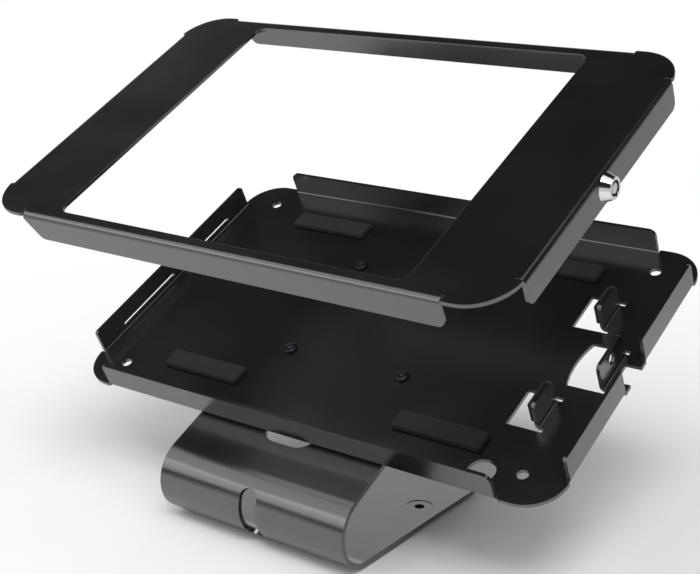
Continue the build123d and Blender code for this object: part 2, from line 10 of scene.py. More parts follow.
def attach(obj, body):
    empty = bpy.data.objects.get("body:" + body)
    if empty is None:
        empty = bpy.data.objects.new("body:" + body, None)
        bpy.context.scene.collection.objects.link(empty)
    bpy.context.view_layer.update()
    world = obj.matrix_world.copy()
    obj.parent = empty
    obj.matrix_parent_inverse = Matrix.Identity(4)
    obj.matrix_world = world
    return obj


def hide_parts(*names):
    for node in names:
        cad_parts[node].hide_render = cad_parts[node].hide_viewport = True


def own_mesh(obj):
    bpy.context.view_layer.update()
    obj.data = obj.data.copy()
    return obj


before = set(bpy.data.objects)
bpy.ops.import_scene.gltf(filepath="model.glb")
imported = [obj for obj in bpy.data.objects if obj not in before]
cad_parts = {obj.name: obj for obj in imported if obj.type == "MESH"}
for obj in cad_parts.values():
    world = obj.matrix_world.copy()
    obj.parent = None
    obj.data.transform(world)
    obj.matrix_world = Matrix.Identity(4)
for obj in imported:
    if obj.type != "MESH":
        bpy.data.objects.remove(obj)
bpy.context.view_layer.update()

MM = 0.001

# The tray's own axes: X along it, Y up its slope, Z out of its floor
TRAY_TILT = radians(26.0)
TRAY_AXES = Matrix.Rotation(TRAY_TILT, 3, "X")
WORLD_AXES = Matrix.Identity(3)

# A noise keeps mostly between these values, where its two tones and two glosses lie
FAINT, STRONG = 0.3, 0.7

# Keeps the widest ring of a rebuilt piece inside its solid, in millimetres
INSIDE = 0.01


def add(tree, kind, inputs=(), stops=(), **settings):
    """A node with its settings, values and links, and a ramp's stops of place and hex colour."""
    node = tree.nodes.new(kind)
    for name, value in settings.items():
        setattr(node, name, value)
    for socket, value in dict(inputs).items():
        if isinstance(value, bpy.types.Node):
            value = value.outputs[0]
        if isinstance(value, bpy.types.NodeSocket):
            tree.links.new(value, node.inputs[socket])
        else:
            node.inputs[socket].default_value = value
    for index, (place, code) in enumerate(stops):
        elements = node.color_ramp.elements
        element = elements[index] if index < len(elements) else elements.new(place)
        element.position = place
        element.color = colour(code)
    return node


def colour(code):
    """Linear colour of an sRGB hex code."""
    parts = [int(code[i : i + 2], 16) / 255 for i in (1, 3, 5)]
    return (*[c / 12.92 if c <= 0.04045 else ((c + 0.055) / 1.055) ** 2.4 for c in parts], 1.0)


def marks(millimetres):
    """Scale at which a pattern's marks are about that many millimetres across."""
    return 1 / (millimetres * MM)


def new_material(name):
    """An empty material, its tree and the piece's own coordinates."""
    material = bpy.data.materials.new(name)
    material.use_nodes = True
    tree = material.node_tree
    tree.nodes.clear()
    return material, tree, add(tree, "ShaderNodeTexCoord").outputs["Object"]


def satin_powder_coat():
    """Black polyester powder, sprayed on sheet steel and baked. The melt sets with an orange peel
    a millimetre or two across, satin and nearly black, so that it takes its shape from what it
    mirrors. Hands and cloths leave broad patches a little glossier than the rest."""
    material, tree, place = new_material("satin_powder_coat")
    peel = add(tree, "ShaderNodeTexNoise", {"Vector": place, "Scale": marks(1.6), "Detail": 1.0})
    grain = add(tree, "ShaderNodeTexNoise", {"Vector": place, "Scale": marks(0.5), "Detail": 1.0})
    hands = add(tree, "ShaderNodeTexNoise", {"Vector": place, "Scale": marks(38), "Detail": 3.0})
    shade = add(
        tree, "ShaderNodeValToRGB", {"Fac": hands}, stops=[(FAINT, "#0f0f10"), (STRONG, "#131314")]
    )
    gloss = add(
        tree,
        "ShaderNodeMapRange",
        {"Value": hands, "From Min": FAINT, "From Max": STRONG, "To Min": 0.2, "To Max": 0.24},
    )
    waves = add(
        tree, "ShaderNodeBump", {"Height": peel, "Distance": 0.009 * MM, "Strength": 0.5}
    )
    bump = add(
        tree,
        "ShaderNodeBump",
        {"Height": grain, "Distance": 0.003 * MM, "Strength": 0.4, "Normal": waves},
    )
    shader = add(
        tree,
        "ShaderNodeBsdfPrincipled",
        {"Base Color": shade, "Roughness": gloss.outputs["Result"], "IOR": 2.2, "Normal": bump},
    )
    add(tree, "ShaderNodeOutputMaterial", {"Surface": shader})
    return material


def edge_coat_with_painted_highlight():
    """The same powder drawn thin over a cut edge: smoother, and rubbed a little lighter. Its
    lighter tone is also a painted highlight, standing in for the bright lines that light draws
    along the edges.
    """
    material, tree, place = new_material("edge_coat_with_painted_highlight")
    rub_and_highlight = add(tree, "ShaderNodeTexNoise", {"Vector": place, "Scale": marks(6), "Detail": 3.0})
    shade = add(
        # Lighter than the flat coat: partly a thin, rubbed coat, partly a painted highlight along
        # the edges
        tree, "ShaderNodeValToRGB", {"Fac": rub_and_highlight}, stops=[(0.35, "#1b1b1c"), (0.75, "#2c2c2e")]
    )
    gloss = add(
        tree,
        "ShaderNodeMapRange",
        {"Value": rub_and_highlight, "From Min": FAINT, "From Max": STRONG, "To Min": 0.2, "To Max": 0.3},
    )
    shader = add(
        tree,
        "ShaderNodeBsdfPrincipled",
        {"Base Color": shade, "Roughness": gloss.outputs["Result"], "IOR": 2.2},
    )
    add(tree, "ShaderNodeOutputMaterial", {"Surface": shader})
    return material


def moulded_rubber():
    """Nitrile rubber from a mould: matt, dark grey, faintly mottled."""
    material, tree, place = new_material("moulded_rubber")
    mottle = add(tree, "ShaderNodeTexNoise", {"Vector": place, "Scale": marks(2.5), "Detail": 4.0})
    tooth = add(tree, "ShaderNodeTexNoise", {"Vector": place, "Scale": marks(0.5), "Detail": 2.0})
    shade = add(
        tree, "ShaderNodeValToRGB", {"Fac": mottle}, stops=[(FAINT, "#161616"), (STRONG, "#202020")]
    )
    bump = add(
        tree, "ShaderNodeBump", {"Height": tooth, "Distance": 0.03 * MM, "Strength": 0.5}
    )
    shader = add(
        tree,
        "ShaderNodeBsdfPrincipled",
        {"Base Color": shade, "Roughness": 0.75, "IOR": 1.52, "Normal": bump},
    )
    add(tree, "ShaderNodeOutputMaterial", {"Surface": shader})
    return material


def cellular_foam():
    """Die-cut closed-cell foam: matt black, its cut cells drawn 0.7 mm across so that they show."""
    material, tree, place = new_material("cellular_foam")
    cells = add(tree, "ShaderNodeTexVoronoi", {"Vector": place, "Scale": marks(0.7)})
    felt = add(tree, "ShaderNodeTexNoise", {"Vector": place, "Scale": marks(1.6), "Detail": 4.0})
    shade = add(
        tree, "ShaderNodeValToRGB", {"Fac": cells}, stops=[(0.05, "#0a0a0a"), (0.5, "#1a1919")]
    )
    pores = add(
        tree, "ShaderNodeBump", {"Height": cells, "Distance": 0.12 * MM, "Strength": 0.6}
    )
    bump = add(
        tree,
        "ShaderNodeBump",
        {"Height": felt, "Distance": 0.08 * MM, "Strength": 0.4, "Normal": pores},
    )
    shader = add(
        tree,
        "ShaderNodeBsdfPrincipled",
        {"Base Color": shade, "Roughness": 0.9, "IOR": 1.5, "Sheen Weight": 0.1, "Normal": bump},
    )
    add(tree, "ShaderNodeOutputMaterial", {"Surface": shader})
    return material


def black_zinc_plate():
    """Zinc plate passivated black on screws, washers and nuts: dark, faintly blue, half gloss."""
    material, tree, place = new_material("black_zinc_plate")
    cloud = add(tree, "ShaderNodeTexNoise", {"Vector": place, "Scale": marks(3), "Detail": 3.0})
    tooth = add(tree, "ShaderNodeTexNoise", {"Vector": place, "Scale": marks(0.3), "Detail": 2.0})
    shade = add(
        tree, "ShaderNodeValToRGB", {"Fac": cloud}, stops=[(FAINT, "#26272a"), (STRONG, "#3b3c40")]
    )
    gloss = add(
        tree,
        "ShaderNodeMapRange",
        {"Value": cloud, "From Min": FAINT, "From Max": STRONG, "To Min": 0.3, "To Max": 0.42},
    )
    bump = add(
        tree, "ShaderNodeBump", {"Height": tooth, "Distance": 0.01 * MM, "Strength": 0.3}
    )
    shader = add(
        tree,
        "ShaderNodeBsdfPrincipled",
        {
            "Base Color": shade,
            "Metallic": 0.85,
            "Roughness": gloss.outputs["Result"],
            "Normal": bump,
        },
    )
    add(tree, "ShaderNodeOutputMaterial", {"Surface": shader})
    return material


def polished_chrome():
    """Chrome plate over the polished zinc casting of the lock: a mirror with a faint haze."""
    material, tree, place = new_material("polished_chrome")
    haze = add(tree, "ShaderNodeTexNoise", {"Vector": place, "Scale": marks(4), "Detail": 3.0})
    shade = add(
        tree, "ShaderNodeValToRGB", {"Fac": haze}, stops=[(FAINT, "#dcdddf"), (STRONG, "#e8e9ea")]
    )
    gloss = add(
        tree,
        "ShaderNodeMapRange",
        {"Value": haze, "From Min": FAINT, "From Max": STRONG, "To Min": 0.05, "To Max": 0.1},
    )
    shader = add(
        tree,
        "ShaderNodeBsdfPrincipled",
        {"Base Color": shade, "Metallic": 1.0, "Roughness": gloss.outputs["Result"]},
    )
    add(tree, "ShaderNodeOutputMaterial", {"Surface": shader})
    return material


def turned_steel():
    """Steel turned and left bare on the lock's post and bolt: cool grey with fine tool marks,
    drawn 0.25 mm apart so that they show."""
    material, tree, place = new_material("turned_steel")
    tool = add(tree, "ShaderNodeTexNoise", {"Vector": place, "Scale": marks(0.25), "Detail": 2.0})
    shade = add(
        tree, "ShaderNodeValToRGB", {"Fac": tool}, stops=[(FAINT, "#d0d2d4"), (STRONG, "#e0e2e3")]
    )
    bump = add(
        tree, "ShaderNodeBump", {"Height": tool, "Distance": 0.005 * MM, "Strength": 0.4}
    )
    shader = add(
        tree,
        "ShaderNodeBsdfPrincipled",
        {"Base Color": shade, "Metallic": 1.0, "Roughness": 0.18, "Normal": bump},
    )
    add(tree, "ShaderNodeOutputMaterial", {"Surface": shader})
    return material


def key_hole_steel_and_painted_shade():
    """Steel blackened in hot salts, at the bottom of the key hole: matt, blue black. Its darkness
    is also painted shade, standing in for the shadow deep in the key hole.
    """
    material, tree, place = new_material("key_hole_steel_and_painted_shade")
    bloom = add(tree, "ShaderNodeTexNoise", {"Vector": place, "Scale": marks(1), "Detail": 2.0})
    shade = add(
        tree, "ShaderNodeValToRGB", {"Fac": bloom}, stops=[(FAINT, "#101113"), (STRONG, "#1c1d20")]
    )
    gloss = add(
        tree,
        "ShaderNodeMapRange",
        {"Value": bloom, "From Min": FAINT, "From Max": STRONG, "To Min": 0.42, "To Max": 0.55},
    )
    shader = add(
        tree,
        "ShaderNodeBsdfPrincipled",
        {"Base Color": shade, "Metallic": 0.6, "Roughness": gloss.outputs["Result"]},
    )
    add(tree, "ShaderNodeOutputMaterial", {"Surface": shader})
    return material


def tempered_spring_steel():
    """Oil-tempered spring steel: brownish grey, half gloss."""
    material, tree, place = new_material("tempered_spring_steel")
    temper = add(tree, "ShaderNodeTexNoise", {"Vector": place, "Scale": marks(1.5), "Detail": 2.0})
    shade = add(
        tree, "ShaderNodeValToRGB", {"Fac": temper}, stops=[(FAINT, "#5d5853"), (STRONG, "#7c7670")]
    )
    gloss = add(
        tree,
        "ShaderNodeMapRange",
        {"Value": temper, "From Min": FAINT, "From Max": STRONG, "To Min": 0.3, "To Max": 0.42},
    )
    shader = add(
        tree,
        "ShaderNodeBsdfPrincipled",
        {"Base Color": shade, "Metallic": 1.0, "Roughness": gloss.outputs["Result"]},
    )
    add(tree, "ShaderNodeOutputMaterial", {"Surface": shader})
    return material


def tarnished_brass():
    """Drawn brass of the key pins and the barrel's end ring: warm yellow, gone dull."""
    material, tree, place = new_material("tarnished_brass")
    tarnish = add(tree, "ShaderNodeTexNoise", {"Vector": place, "Scale": marks(0.8), "Detail": 2.0})
    shade = add(
        tree,
        "ShaderNodeValToRGB",
        {"Fac": tarnish},
        stops=[(FAINT, "#6d5730"), (STRONG, "#8f7440")],
    )
    gloss = add(
        tree,
        "ShaderNodeMapRange",
        {"Value": tarnish, "From Min": FAINT, "From Max": STRONG, "To Min": 0.3, "To Max": 0.42},
    )
    shader = add(
        tree,
        "ShaderNodeBsdfPrincipled",
        {"Base Color": shade, "Metallic": 1.0, "Roughness": gloss.outputs["Result"]},
    )
    add(tree, "ShaderNodeOutputMaterial", {"Surface": shader})
    return material


def pale_floor_paint():
    """Matt white paint, rolled on the studio floor. It keeps the object's shadow, and further off
    it fades to plain white for the eye and to a slightly dimmer white for mirrors."""
    material, tree, place = new_material("pale_floor_paint")
    roll = add(tree, "ShaderNodeTexNoise", {"Vector": place, "Scale": marks(60), "Detail": 2.0})
    shade = add(
        tree, "ShaderNodeValToRGB", {"Fac": roll}, stops=[(FAINT, "#f5f5f5"), (STRONG, "#f7f7f7")]
    )
    paint = add(
        tree,
        "ShaderNodeBsdfPrincipled",
        {"Base Color": shade, "Roughness": 0.9, "IOR": 1.3},
    )
    away = add(tree, "ShaderNodeVectorMath", {0: place}, operation="LENGTH").outputs["Value"]
    beyond = add(
        tree,
        "ShaderNodeMapRange",
        {"Value": away, "From Min": 280 * MM, "From Max": 550 * MM},
    )
    dusk = add(
        tree,
        "ShaderNodeMapRange",
        {"Value": away, "From Min": 360 * MM, "From Max": 640 * MM, "To Min": 1.0, "To Max": 0.68},
    )
    path = add(tree, "ShaderNodeLightPath").outputs
    glow = add(
        tree, "ShaderNodeMath", {0: dusk, 1: path["Is Camera Ray"]}, operation="MAXIMUM"
    )
    white = add(tree, "ShaderNodeEmission", {"Strength": glow})
    seen = add(
        tree,
        "ShaderNodeMath",
        {0: path["Is Camera Ray"], 1: path["Is Glossy Ray"]},
        operation="MAXIMUM",
    )
    share = add(tree, "ShaderNodeMath", {0: beyond, 1: seen}, operation="MULTIPLY")
    shader = add(tree, "ShaderNodeMixShader", {0: share, 1: paint, 2: white})
    add(tree, "ShaderNodeOutputMaterial", {"Surface": shader})
    return material


COAT = satin_powder_coat()
EDGE_COAT_AND_HIGHLIGHT = edge_coat_with_painted_highlight()
RUBBER = moulded_rubber()
FOAM = cellular_foam()
BLACK_ZINC = black_zinc_plate()
CHROME = polished_chrome()
TURNED_STEEL = turned_steel()
KEY_HOLE_STEEL_AND_SHADE = key_hole_steel_and_painted_shade()
SPRING_STEEL = tempered_spring_steel()
BRASS = tarnished_brass()

# Mesh helpers


def new_piece(name, mesh, *materials):
    """An object at the origin from a mesh that is already in place."""
    piece = bpy.data.objects.new(name, mesh)
    bpy.context.scene.collection.objects.link(piece)
    mesh.materials.clear()
    for material in materials:
        mesh.materials.append(material)
    return piece


def bake(piece):
    """Turns a piece's modifiers into its plain mesh."""
    bpy.context.view_layer.update()
    graph = bpy.context.evaluated_depsgraph_get()
    mesh = bpy.data.meshes.new_from_object(piece.evaluated_get(graph))
    piece.modifiers.clear()
    piece.data = mesh
    return piece


def smooth_mesh(edit, name):
    """A smooth shaded mesh from an edit mesh, which is freed."""
    mesh = bpy.data.meshes.new(name)
    edit.to_mesh(mesh)
    edit.free()
    for face in mesh.polygons:
        face.use_smooth = True
    return mesh


def set_down(piece, body, slot, *nodes):
    """The piece stands for its solids and moves with their body."""
    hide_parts(*nodes)
    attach(piece, body)
    return piece


def span(node, axes=WORLD_AXES, side=0):
    """Lowest and highest corner of a node in those axes, in millimetres, or of its half on one
    side of the middle."""
    turn = axes.transposed()
    places = [turn @ corner.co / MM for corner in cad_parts[node].data.vertices]
    places = [place for place in places if place.x * side >= 0]
    return [Vector([pick(place[a] for place in places) for a in range(3)]) for pick in (min, max)]


def eased(name, node, body, slot, width, *materials):
    """A solid's own shape with its sharp edges eased, as plating or paint leaves them. The eased
    edges take the second material, where there is one."""
    same_place = 0.002 * MM
    flat_angle = radians(0.4)
    sharp_angle = radians(32)
    edit = bmesh.new()
    edit.from_mesh(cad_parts[node].data)
    bmesh.ops.remove_doubles(edit, verts=edit.verts, dist=same_place)
    bmesh.ops.dissolve_limit(edit, angle_limit=flat_angle, verts=edit.verts, edges=edit.edges)
    piece = new_piece(name, smooth_mesh(edit, name), *materials)
    easing = piece.modifiers.new("easing", "BEVEL")
    easing.width = width * MM
    easing.segments = 3
    easing.limit_method = "ANGLE"
    easing.angle_limit = sharp_angle
    easing.miter_outer = "MITER_ARC"
    easing.use_clamp_overlap = True
    easing.material = len(materials) - 1
    flat = piece.modifiers.new("flat", "WEIGHTED_NORMAL")
    flat.weight = 80
    return set_down(bake(piece), body, slot, node)


# Folded sheets, whose edges carry a thick coat
SHEET_EASING = 0.4
# The eased edges of the sheets take the lighter edge coat: a thin, rubbed coat that also paints a
# highlight along them
eased("foot_plate", "stand_bracket", "stand", "powder_coat", SHEET_EASING, COAT, EDGE_COAT_AND_HIGHLIGHT)
eased("folded_tray", "tray", "stand", "powder_coat", SHEET_EASING, COAT, EDGE_COAT_AND_HIGHLIGHT)
eased("folded_cover", "front_cover", "cover", "powder_coat", SHEET_EASING, COAT, EDGE_COAT_AND_HIGHLIGHT)

# Lock, chromed outside and blackened inside its key hole, whose dark lining is partly painted shade
collar = eased("lock_collar", "lock_housing", "cover", "chrome", 0.14, CHROME)
eased("retaining_clip", "lock_clip", "cover", "spring_steel", 0.12, SPRING_STEEL)
eased("barrel_end_ring", "lock_end_cap", "cover", "brass", 0.1, BRASS)
eased("locking_bolt", "lock_bolt", "bolt", "bright_steel", 0.1, TURNED_STEEL)
core = eased("key_core", "lock_core", "key_core", "chrome", 0.07, TURNED_STEEL)
core.data.materials.append(KEY_HOLE_STEEL_AND_SHADE)
core_low, core_high = span("lock_core")
lock_axis = (core_low + core_high) / 2
POST_REACH = 2.65  # the post's own faces lie within it, the bottom of the key hole beyond it
HOLE_REACH = 3.72  # the collar's faces within it line the key hole


def reach_of(piece, face):
    """How far a face of the lock reaches from the lock's axis, in millimetres."""
    corners = [piece.data.vertices[index].co / MM - lock_axis for index in face.vertices]
    return max(hypot(corner.y, corner.z) for corner in corners)


# The faces lining the key hole take the dark steel, which also paints the shade inside the hole
collar.data.materials.append(KEY_HOLE_STEEL_AND_SHADE)
for face in collar.data.polygons:
    if reach_of(collar, face) < HOLE_REACH:
        face.material_index = 1
for face in core.data.polygons:
    if reach_of(core, face) > POST_REACH:
        face.material_index = 1

# Small turned and moulded pieces: each is made once, and a tree of nodes sets out its copies


def lofted(name, rings, steps=48):
    """A closed surface through rings of height and radius in millimetres, round Z. A radius may
    be a function of the angle, a ring of radius nought is a pole, and the last ring joins the
    first where the piece has a hole."""
    edit = bmesh.new()
    rows = []
    for height, radius in rings:
        row = []
        for step in range(1 if radius == 0 else steps):
            angle = 2 * pi * step / steps
            reach = radius(angle) if callable(radius) else radius
            turned = Matrix.Rotation(angle, 3, "Z") @ Vector((reach, 0, height))
            row.append(edit.verts.new(turned * MM))
        rows.append(row)
    for row, following in zip(rows, rows[1:] + rows[:1]):
        for step in range(steps):
            after = step + 1
            ring = [row[step % len(row)], row[after % len(row)]]
            ring += [following[after % len(following)], following[step % len(following)]]
            ring = list(dict.fromkeys(ring))
            if len(ring) > 2:
                edit.faces.new(ring)
    bmesh.ops.recalc_face_normals(edit, faces=edit.faces)
    return smooth_mesh(edit, name)


def hexagon(flats, widest=None):
    """Radius by angle of a hexagon that wide across its flats, and of its corners where turned."""
    sixth = pi / 3

    def radius(angle):
        reach = flats / 2 / cos(angle % sixth - sixth / 2)
        return min(reach, widest or reach)

    return radius


def thread(top, bottom, radius, pitch, depth):
    """Rings of a screw thread from its top down to its bottom."""
    rings_per_turn = 8
    count = round((top - bottom) / pitch * rings_per_turn)
    rings = []
    for ring in range(count + 1):
        height = top + (bottom - top) * ring / count
        fade = min(1.0, ring / rings_per_turn, (count - ring) / rings_per_turn)

        def reach(angle, height=height, fade=fade):
            flank = abs(2 * ((height / pitch + angle / (2 * pi)) % 1) - 1)
            return radius - depth * (1 - fade * (1 - flank))

        rings.append((height, reach))
    return rings


def copies_tree(name, sizes, points):
    """A tree that sets out copies of a piece on points, turns and places them all, and gives them
    their material. The points' own node takes the sizes as its inputs of those names."""
    tree = bpy.data.node_groups.new(name, "GeometryNodeTree")
    tree.is_modifier = True
    sockets = {"Geometry": "Geometry", "Place": "Vector", "Turn": "Vector", "Material": "Material"}
    for socket, kind in {**sockets, **sizes}.items():
        tree.interface.new_socket(socket, in_out="INPUT", socket_type=f"NodeSocket{kind}")
    tree.interface.new_socket("Geometry", in_out="OUTPUT", socket_type="NodeSocketGeometry")
    given = add(tree, "NodeGroupInput").outputs
    spots = add(tree, points, {size: given[size] for size in sizes})
    copies = add(
        tree, "GeometryNodeInstanceOnPoints", {"Points": spots, "Instance": given["Geometry"]}
    )
    placed = add(
        tree,
        "GeometryNodeTransform",
        {"Geometry": copies, "Translation": given["Place"], "Rotation": given["Turn"]},
    )
    solid = add(tree, "GeometryNodeRealizeInstances", {"Geometry": placed})
    dressed = add(
        tree, "GeometryNodeSetMaterial", {"Geometry": solid, "Material": given["Material"]}
    )
    add(tree, "NodeGroupOutput", {"Geometry": dressed})
    return tree


GRID_SIZES = {"Size X": "Float", "Size Y": "Float", "Vertices X": "Int", "Vertices Y": "Int"}
GRID = copies_tree("copies_on_a_grid", GRID_SIZES, "GeometryNodeMeshGrid")
RING = copies_tree(
    "copies_round_a_circle", {"Radius": "Float", "Vertices": "Int"}, "GeometryNodeMeshCircle"
)


def set_out(piece, tree, place, turn, sizes):
    """Runs such a tree on a piece, whose mesh then holds all the copies."""
    values = {"Place": place, "Turn": turn, "Material": piece.data.materials[0], **sizes}
    modifier = piece.modifiers.new("copies", "NODES")
    modifier.node_group = tree
    for socket in tree.interface.items_tree:
        if socket.in_out == "INPUT" and socket.name in values:
            modifier[socket.identifier] = values[socket.name]
    return bake(piece)


def grid_sizes(across, along, columns=2, rows=2):
    """Inputs of a grid of copies whose outer ones stand that many millimetres apart."""
    return {"Size X": across * MM, "Size Y": along * MM, "Vertices X": columns, "Vertices Y": rows}


# Pan-head screws with a hexagon socket and a rolled M4 thread, their washers and nuts
screws_low, screws_high = span("tray_screws", TRAY_AXES)
HEAD_HEIGHT = 2.2
HEAD_RADIUS = 4.0
SHANK_RADIUS = 2.0
SOCKET_FLATS = 3.8
SOCKET_DEPTH = 1.2
THREAD_PITCH = 0.7
THREAD_DEPTH = 0.36
screw_middle = (screws_low + screws_high) / 2
screw_spacing = screws_high.x - screws_low.x - 2 * HEAD_RADIUS
screw_seat = screws_high.z - HEAD_HEIGHT
screw_tip = screws_low.z - screw_seat
screw_rings = [
    (HEAD_HEIGHT - SOCKET_DEPTH, 0),
    (HEAD_HEIGHT - SOCKET_DEPTH, hexagon(SOCKET_FLATS - 0.2)),
    (HEAD_HEIGHT - 0.1, hexagon(SOCKET_FLATS)),
    (HEAD_HEIGHT - 0.02, hexagon(SOCKET_FLATS + 0.2)),
    (HEAD_HEIGHT, 2.5),
    (HEAD_HEIGHT - 0.08, 3.05),
    (HEAD_HEIGHT - 0.35, 3.55),
    (HEAD_HEIGHT - 0.8, 3.87),
    (HEAD_HEIGHT - 1.3, 3.97),
    (0.15, HEAD_RADIUS - INSIDE),
    (0.0, 3.9),
    (0.0, 2.1),
    (-0.4, 1.98),
    *thread(-0.6, screw_tip + 0.5, SHANK_RADIUS - INSIDE, THREAD_PITCH, THREAD_DEPTH),
    (screw_tip + 0.05, 1.3),
    (screw_tip, 1.2),
    (screw_tip, 0),
]

washers_low, washers_high = span("tray_washers", TRAY_AXES)
WASHER_RADIUS = 4.5
washer_height = washers_high.z - washers_low.z
washer_rings = [
    (0.0, 2.3),
    (0.0, WASHER_RADIUS - 0.1),
    (0.12, WASHER_RADIUS - INSIDE),
    (washer_height - 0.2, WASHER_RADIUS - INSIDE),
    (washer_height - 0.03, WASHER_RADIUS - 0.2),
    (washer_height, WASHER_RADIUS - 0.5),
    (washer_height, 2.4),
    (washer_height - 0.12, 2.2),
    (0.1, 2.2),
]

nuts_low, nuts_high = span("tray_nuts", TRAY_AXES)
NUT_FLATS = 7.0
NUT_CORNERS = 4.03
nut_height = nuts_high.z - nuts_low.z
nut_rings = [
    (0.0, 2.3),
    (0.0, 3.35),
    (0.12, hexagon(NUT_FLATS - 0.04, 3.55)),
    (0.35, hexagon(NUT_FLATS, NUT_CORNERS)),
    (nut_height - 0.35, hexagon(NUT_FLATS, NUT_CORNERS)),
    (nut_height - 0.12, hexagon(NUT_FLATS - 0.04, 3.55)),
    (nut_height, 3.35),
    (nut_height, 2.3),
    (nut_height - 0.25, 2.1),
    (0.25, 2.1),
]

for name, node, rings, height in (
    ("pan_head_screws", "tray_screws", screw_rings, screw_seat),
    ("plain_washers", "tray_washers", washer_rings, washers_low.z),
    ("hexagon_nuts", "tray_nuts", nut_rings, nuts_low.z),
):
    fasteners = new_piece(name, lofted(name, rings), BLACK_ZINC)
    place = TRAY_AXES @ Vector((screw_middle.x, screw_middle.y, height)) * MM
    set_out(fasteners, GRID, place, (TRAY_TILT, 0, 0), grid_sizes(screw_spacing, screw_spacing))
    set_down(fasteners, "stand", "black_zinc", node)

# Rubber feet with a rounded rim and a shallow dish below
feet_low, feet_high = span("bracket_feet")
FOOT_RADIUS = 7.0
foot_height = feet_high.z - feet_low.z
foot_rings = [
    (0.35, 0),
    (0.28, 2.0),
    (0.08, 4.0),
    (0.0, 4.9),
    (0.0, 6.1),
    (0.12, 6.6),
    (0.4, 6.9),
    (0.7, FOOT_RADIUS - INSIDE),
    (foot_height - 0.25, FOOT_RADIUS - INSIDE),
    (foot_height - 0.1, 6.85),
    (foot_height, 6.7),
    (foot_height, 0),
]
feet = new_piece("rubber_feet", lofted("rubber_feet", foot_rings), RUBBER)
feet_middle = (feet_low + feet_high) / 2
feet_size = feet_high - feet_low
foot_spacing = grid_sizes(feet_size.x - 2 * FOOT_RADIUS, feet_size.y - 2 * FOOT_RADIUS)
feet_place = Vector((feet_middle.x, feet_middle.y, feet_low.z)) * MM
set_out(feet, GRID, feet_place, (0, 0, 0), foot_spacing)
set_down(feet, "stand", "rubber", "bracket_feet")

# Seven domed key pins round the lock's post
pins_low, pins_high = span("lock_pins")
PIN_RADIUS = 0.4
PIN_CIRCLE = 3.15
PIN_COUNT = 7
pin_length = pins_high.x - pins_low.x
pin_rings = [
    (0.0, 0),
    (0.0, PIN_RADIUS - 0.06),
    (0.06, PIN_RADIUS - INSIDE),
    (pin_length - 0.14, PIN_RADIUS - INSIDE),
    (pin_length - 0.05, PIN_RADIUS - 0.08),
    (pin_length - 0.01, PIN_RADIUS - 0.24),
    (pin_length, 0),
]
pins = new_piece("key_pins", lofted("key_pins", pin_rings, 16), BRASS)
pins_place = Vector((pins_low.x, lock_axis.y, lock_axis.z)) * MM
pin_sizes = {"Radius": PIN_CIRCLE * MM, "Vertices": PIN_COUNT}
set_out(pins, RING, pins_place, (0, pi / 2, 0), pin_sizes)
set_down(pins, "key_core", "brass", "lock_pins")

# Spring round the bolt, which on the real lock shortens as the bolt goes out; here it is a coil of
# fixed length that moves with the bolt


def coiled_wire(name, start, end, reach, wire, turns):
    """A round wire wound round the lock's axis from start to end, in millimetres."""
    steps_per_turn = 40
    sides = 12
    count = turns * steps_per_turn
    lead = (end - start) / (2 * pi * turns)
    edit = bmesh.new()
    rings = []
    for step in range(count + 1):
        angle = 2 * pi * step / steps_per_turn
        outwards = Vector((0, cos(angle), sin(angle)))
        along = Vector((lead, -reach * sin(angle), reach * cos(angle))).normalized()
        beside = along.cross(outwards)
        middle = Vector((start + lead * angle, lock_axis.y, lock_axis.z)) + outwards * reach
        ring = []
        for side in range(sides):
            turn = 2 * pi * side / sides
            skin = (outwards * cos(turn) + beside * sin(turn)) * wire
            ring.append(edit.verts.new((middle + skin) * MM))
        rings.append(ring)
    for ring, following in zip(rings, rings[1:]):
        for side in range(sides):
            after = (side + 1) % sides
            edit.faces.new((ring[side], ring[after], following[after], following[side]))
    edit.faces.new(rings[0])
    edit.faces.new(rings[-1])
    bmesh.ops.recalc_face_normals(edit, faces=edit.faces)
    return smooth_mesh(edit, name)


spring_low, spring_high = span("lock_spring")
WIRE_RADIUS = 0.25
SPRING_TURNS = 5
coil_mesh = coiled_wire(
    "bolt_spring",
    spring_low.x + WIRE_RADIUS,
    spring_high.x - WIRE_RADIUS,
    (spring_high.y - spring_low.y) / 2 - WIRE_RADIUS - INSIDE,
    WIRE_RADIUS,
    SPRING_TURNS,
)
coil = new_piece("bolt_spring", coil_mesh, SPRING_STEEL)
set_down(coil, "bolt", "spring_steel", "lock_spring")
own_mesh(coil)

# Foam strips and pads


def foam_mesh(name, size, rounding, cell):
    """A die-cut foam block about the origin, its edges softened and its skin a little uneven.
    Sizes are in millimetres, and a cell is the side of its mesh's squares."""
    half = [side / 2 for side in size]
    counts = [max(2, round(side / cell)) for side in size]
    edit = bmesh.new()
    corners = {}

    def corner(key):
        if key not in corners:
            point = [half[a] * (2 * key[a] / counts[a] - 1) for a in range(3)]
            core = [max(rounding - half[a], min(half[a] - rounding, point[a])) for a in range(3)]
            skin = Vector([point[a] - core[a] for a in range(3)]).normalized()
            soft = Vector(core) + skin * rounding
            swell = 0.06 * (noise.noise(soft * 0.5) + 1)
            dent = swell + 0.03 * (noise.noise(soft * 2.1) + 1)
            corners[key] = edit.verts.new((soft - skin * dent) * MM)
        return corners[key]

    for a in range(3):
        b, c = (a + 1) % 3, (a + 2) % 3
        for end in (0, counts[a]):
            for u in range(counts[b]):
                for v in range(counts[c]):
                    ring = []
                    for du, dv in ((0, 0), (1, 0), (1, 1), (0, 1)):
                        key = [0, 0, 0]
                        key[a], key[b], key[c] = end, u + du, v + dv
                        ring.append(corner(tuple(key)))
                    edit.faces.new(ring if end else ring[::-1])
    return smooth_mesh(edit, name)


